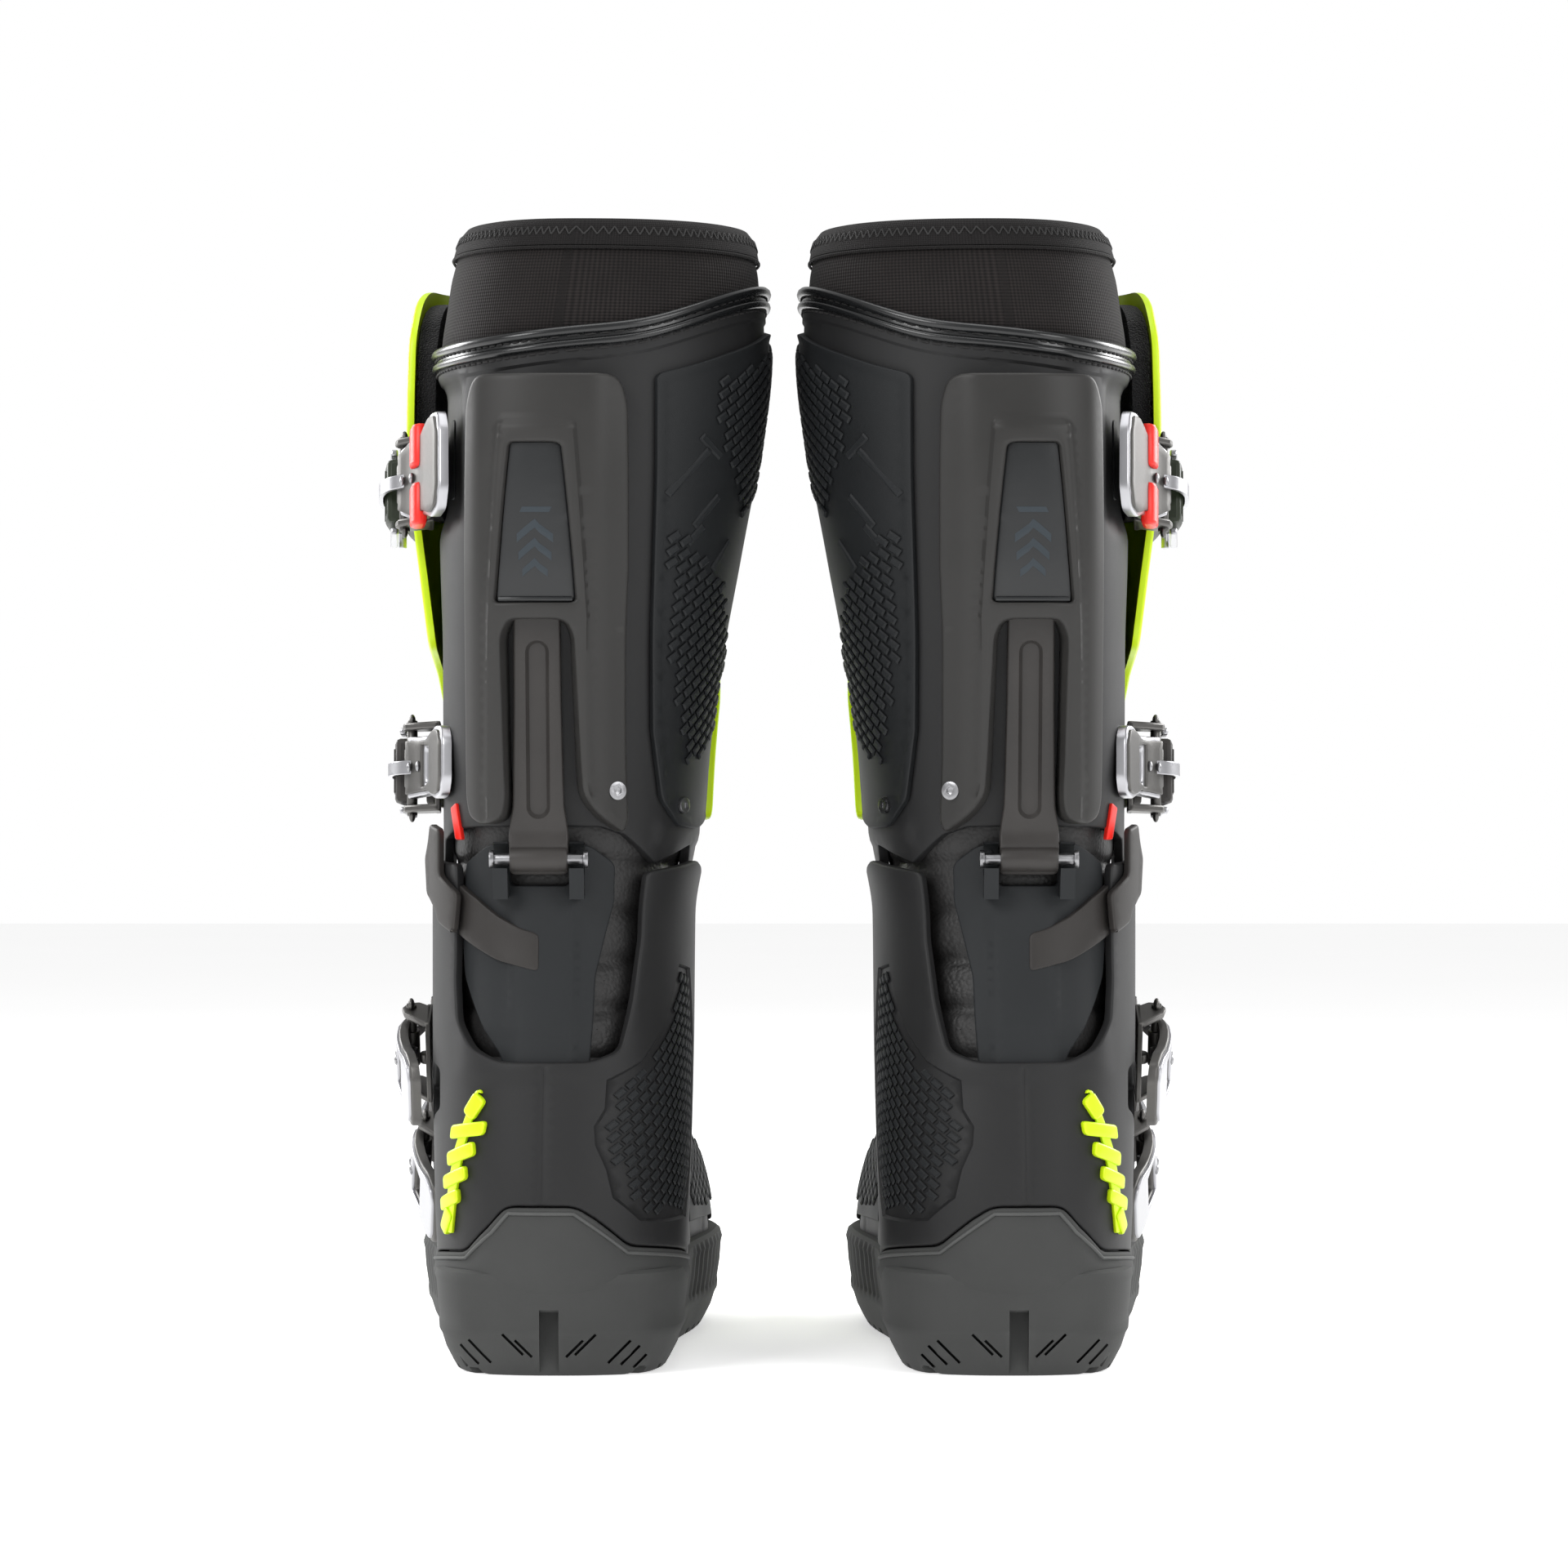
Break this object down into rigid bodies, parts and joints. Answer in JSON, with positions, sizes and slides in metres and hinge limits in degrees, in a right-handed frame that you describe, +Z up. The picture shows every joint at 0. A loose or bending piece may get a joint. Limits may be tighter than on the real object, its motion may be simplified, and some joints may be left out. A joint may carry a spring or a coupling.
{
  "type": "riding boots",
  "caption": "Pair of tall off-road riding boots with hinged calf cuffs, a spine link behind the ankle, shin plates, buckled straps and rubber soles.",
  "frame": {"origin": "centre of the pair's bounding box on the ground", "axes": "+Z up, toes along +Y, left boot at -X, right boot at +X"},
  "size_m": [0.308, 0.3362, 0.431],
  "materials": {
    "shell": "satin moulded, dark",
    "plate": "satin moulded, dark grey",
    "window": "smooth, semi-gloss",
    "neon": "fluorescent yellow-green",
    "sole": "matt dark grey rubber",
    "soft_rubber": "matt",
    "guard": "matt, patterned grip",
    "strap": "satin flexible strap",
    "piping": "glossy rolled edge",
    "flex_leather": "pebbled, stitched in channels",
    "stretch_fabric": "stretch weave",
    "lining": "soft padded lining",
    "buckle_metal": "bright cast",
    "lever_metal": "dark satin cast",
    "steel": "plain"
  },
  "bodies": {
    "left_foot": {"left_outsole": "sole", "left_foot_shell": "shell", "left_toe_cap": "shell", "left_heel_frame": "shell", "left_heel_badge": "neon", "left_flex_bootie": "flex_leather", "left_achilles_plate": "soft_rubber", "left_spine_pin": "steel", "left_ankle_strap": "strap", "left_buckle_3_base": "buckle_metal", "left_buckle_3_strap": "strap", "left_buckle_4_base": "buckle_metal", "left_buckle_4_strap": "strap"},
    "left_spine": {"left_spine_link": "plate"},
    "left_cuff": {"left_cuff_shell": "shell", "left_collar_lining": "lining", "left_gaiter": "stretch_fabric", "left_gaiter_piping": "piping", "left_rear_plate": "plate", "left_rear_window": "window", "left_burn_guard": "guard", "left_buckle_1_base": "buckle_metal", "left_buckle_2_base": "buckle_metal"},
    "left_shin_door": {"left_shin_plate": "neon", "left_buckle_1_strap": "strap", "left_buckle_2_strap": "strap"},
    "left_lever_1": {"left_buckle_1_lever": "lever_metal"},
    "left_lever_2": {"left_buckle_2_lever": "lever_metal"},
    "left_lever_3": {"left_buckle_3_lever": "lever_metal"},
    "left_lever_4": {"left_buckle_4_lever": "lever_metal"},
    "right_foot": {"right_outsole": "sole", "right_foot_shell": "shell", "right_toe_cap": "shell", "right_heel_frame": "shell", "right_heel_badge": "neon", "right_flex_bootie": "flex_leather", "right_achilles_plate": "soft_rubber", "right_spine_pin": "steel", "right_ankle_strap": "strap", "right_buckle_3_base": "buckle_metal", "right_buckle_3_strap": "strap", "right_buckle_4_base": "buckle_metal", "right_buckle_4_strap": "strap"},
    "right_spine": {"right_spine_link": "plate"},
    "right_cuff": {"right_cuff_shell": "shell", "right_collar_lining": "lining", "right_gaiter": "stretch_fabric", "right_gaiter_piping": "piping", "right_rear_plate": "plate", "right_rear_window": "window", "right_burn_guard": "guard", "right_buckle_1_base": "buckle_metal", "right_buckle_2_base": "buckle_metal"},
    "right_shin_door": {"right_shin_plate": "neon", "right_buckle_1_strap": "strap", "right_buckle_2_strap": "strap"},
    "right_lever_1": {"right_buckle_1_lever": "lever_metal"},
    "right_lever_2": {"right_buckle_2_lever": "lever_metal"},
    "right_lever_3": {"right_buckle_3_lever": "lever_metal"},
    "right_lever_4": {"right_buckle_4_lever": "lever_metal"}
  },
  "joints": [
    {"name": "boots_apart", "type": "slide", "parent": "left_foot", "child": "right_foot", "axis": [1, 0, 0], "range_m": [0, 0.2]},
    {"name": "left_ankle_flex", "type": "hinge", "parent": "left_foot", "child": "left_cuff", "pos_m": [-0.0845, -0.06556, 0.152], "axis": [-1, 0, 0], "range_deg": [-1, 16], "stiffness_Nm_per_rad": 20, "deforming": ["left_flex_bootie"]},
    {"name": "left_spine_pivot", "type": "hinge", "parent": "left_foot", "child": "left_spine", "pos_m": [-0.0915, -0.13756, 0.192], "axis": [-1, 0, 0], "range_deg": [-4, 24]},
    {"name": "left_shin_door_hinge", "type": "hinge", "parent": "left_cuff", "child": "left_shin_door", "pos_m": [-0.029, -0.05356, 0.206], "axis": [-0.0935, -0.1485, -0.9845], "range_deg": [0, 50]},
    {"name": "left_lever_1_hinge", "type": "hinge", "parent": "left_cuff", "child": "left_lever_1", "pos_m": [-0.14447, -0.09039, 0.334], "axis": [0.0121, -0.1732, -0.9848], "range_deg": [0, 90]},
    {"name": "left_lever_2_hinge", "type": "hinge", "parent": "left_cuff", "child": "left_lever_2", "pos_m": [-0.14289, -0.06897, 0.226], "axis": [0.0024, -0.0697, -0.9976], "range_deg": [0, 90]},
    {"name": "left_lever_3_hinge", "type": "hinge", "parent": "left_foot", "child": "left_lever_3", "pos_m": [-0.1441, -0.04856, 0.118], "axis": [0, 0.4067, -0.9135], "range_deg": [0, 90]},
    {"name": "left_lever_4_hinge", "type": "hinge", "parent": "left_foot", "child": "left_lever_4", "pos_m": [-0.14225, -0.0035, 0.074], "axis": [-0.0554, 0.527, -0.848], "range_deg": [0, 90]},
    {"name": "right_ankle_flex", "type": "hinge", "parent": "right_foot", "child": "right_cuff", "pos_m": [0.0845, -0.06556, 0.152], "axis": [-1, 0, 0], "range_deg": [-1, 16], "stiffness_Nm_per_rad": 20, "deforming": ["right_flex_bootie"]},
    {"name": "right_spine_pivot", "type": "hinge", "parent": "right_foot", "child": "right_spine", "pos_m": [0.0915, -0.13756, 0.192], "axis": [-1, 0, 0], "range_deg": [-4, 24]},
    {"name": "right_shin_door_hinge", "type": "hinge", "parent": "right_cuff", "child": "right_shin_door", "pos_m": [0.029, -0.05356, 0.206], "axis": [-0.0935, 0.1485, 0.9845], "range_deg": [0, 50]},
    {"name": "right_lever_1_hinge", "type": "hinge", "parent": "right_cuff", "child": "right_lever_1", "pos_m": [0.14447, -0.09039, 0.334], "axis": [0.0121, 0.1732, 0.9848], "range_deg": [0, 90]},
    {"name": "right_lever_2_hinge", "type": "hinge", "parent": "right_cuff", "child": "right_lever_2", "pos_m": [0.14289, -0.06897, 0.226], "axis": [0.0024, 0.0697, 0.9976], "range_deg": [0, 90]},
    {"name": "right_lever_3_hinge", "type": "hinge", "parent": "right_foot", "child": "right_lever_3", "pos_m": [0.1441, -0.04856, 0.118], "axis": [0, -0.4067, 0.9135], "range_deg": [0, 90]},
    {"name": "right_lever_4_hinge", "type": "hinge", "parent": "right_foot", "child": "right_lever_4", "pos_m": [0.14225, -0.0035, 0.074], "axis": [-0.0554, -0.527, 0.848], "range_deg": [0, 90]}
  ],
  "couplings": [
    {"joint": "left_spine_pivot", "follows": "left_ankle_flex", "ratio": 1.42},
    {"joint": "right_spine_pivot", "follows": "right_ankle_flex", "ratio": 1.42}
  ]
}
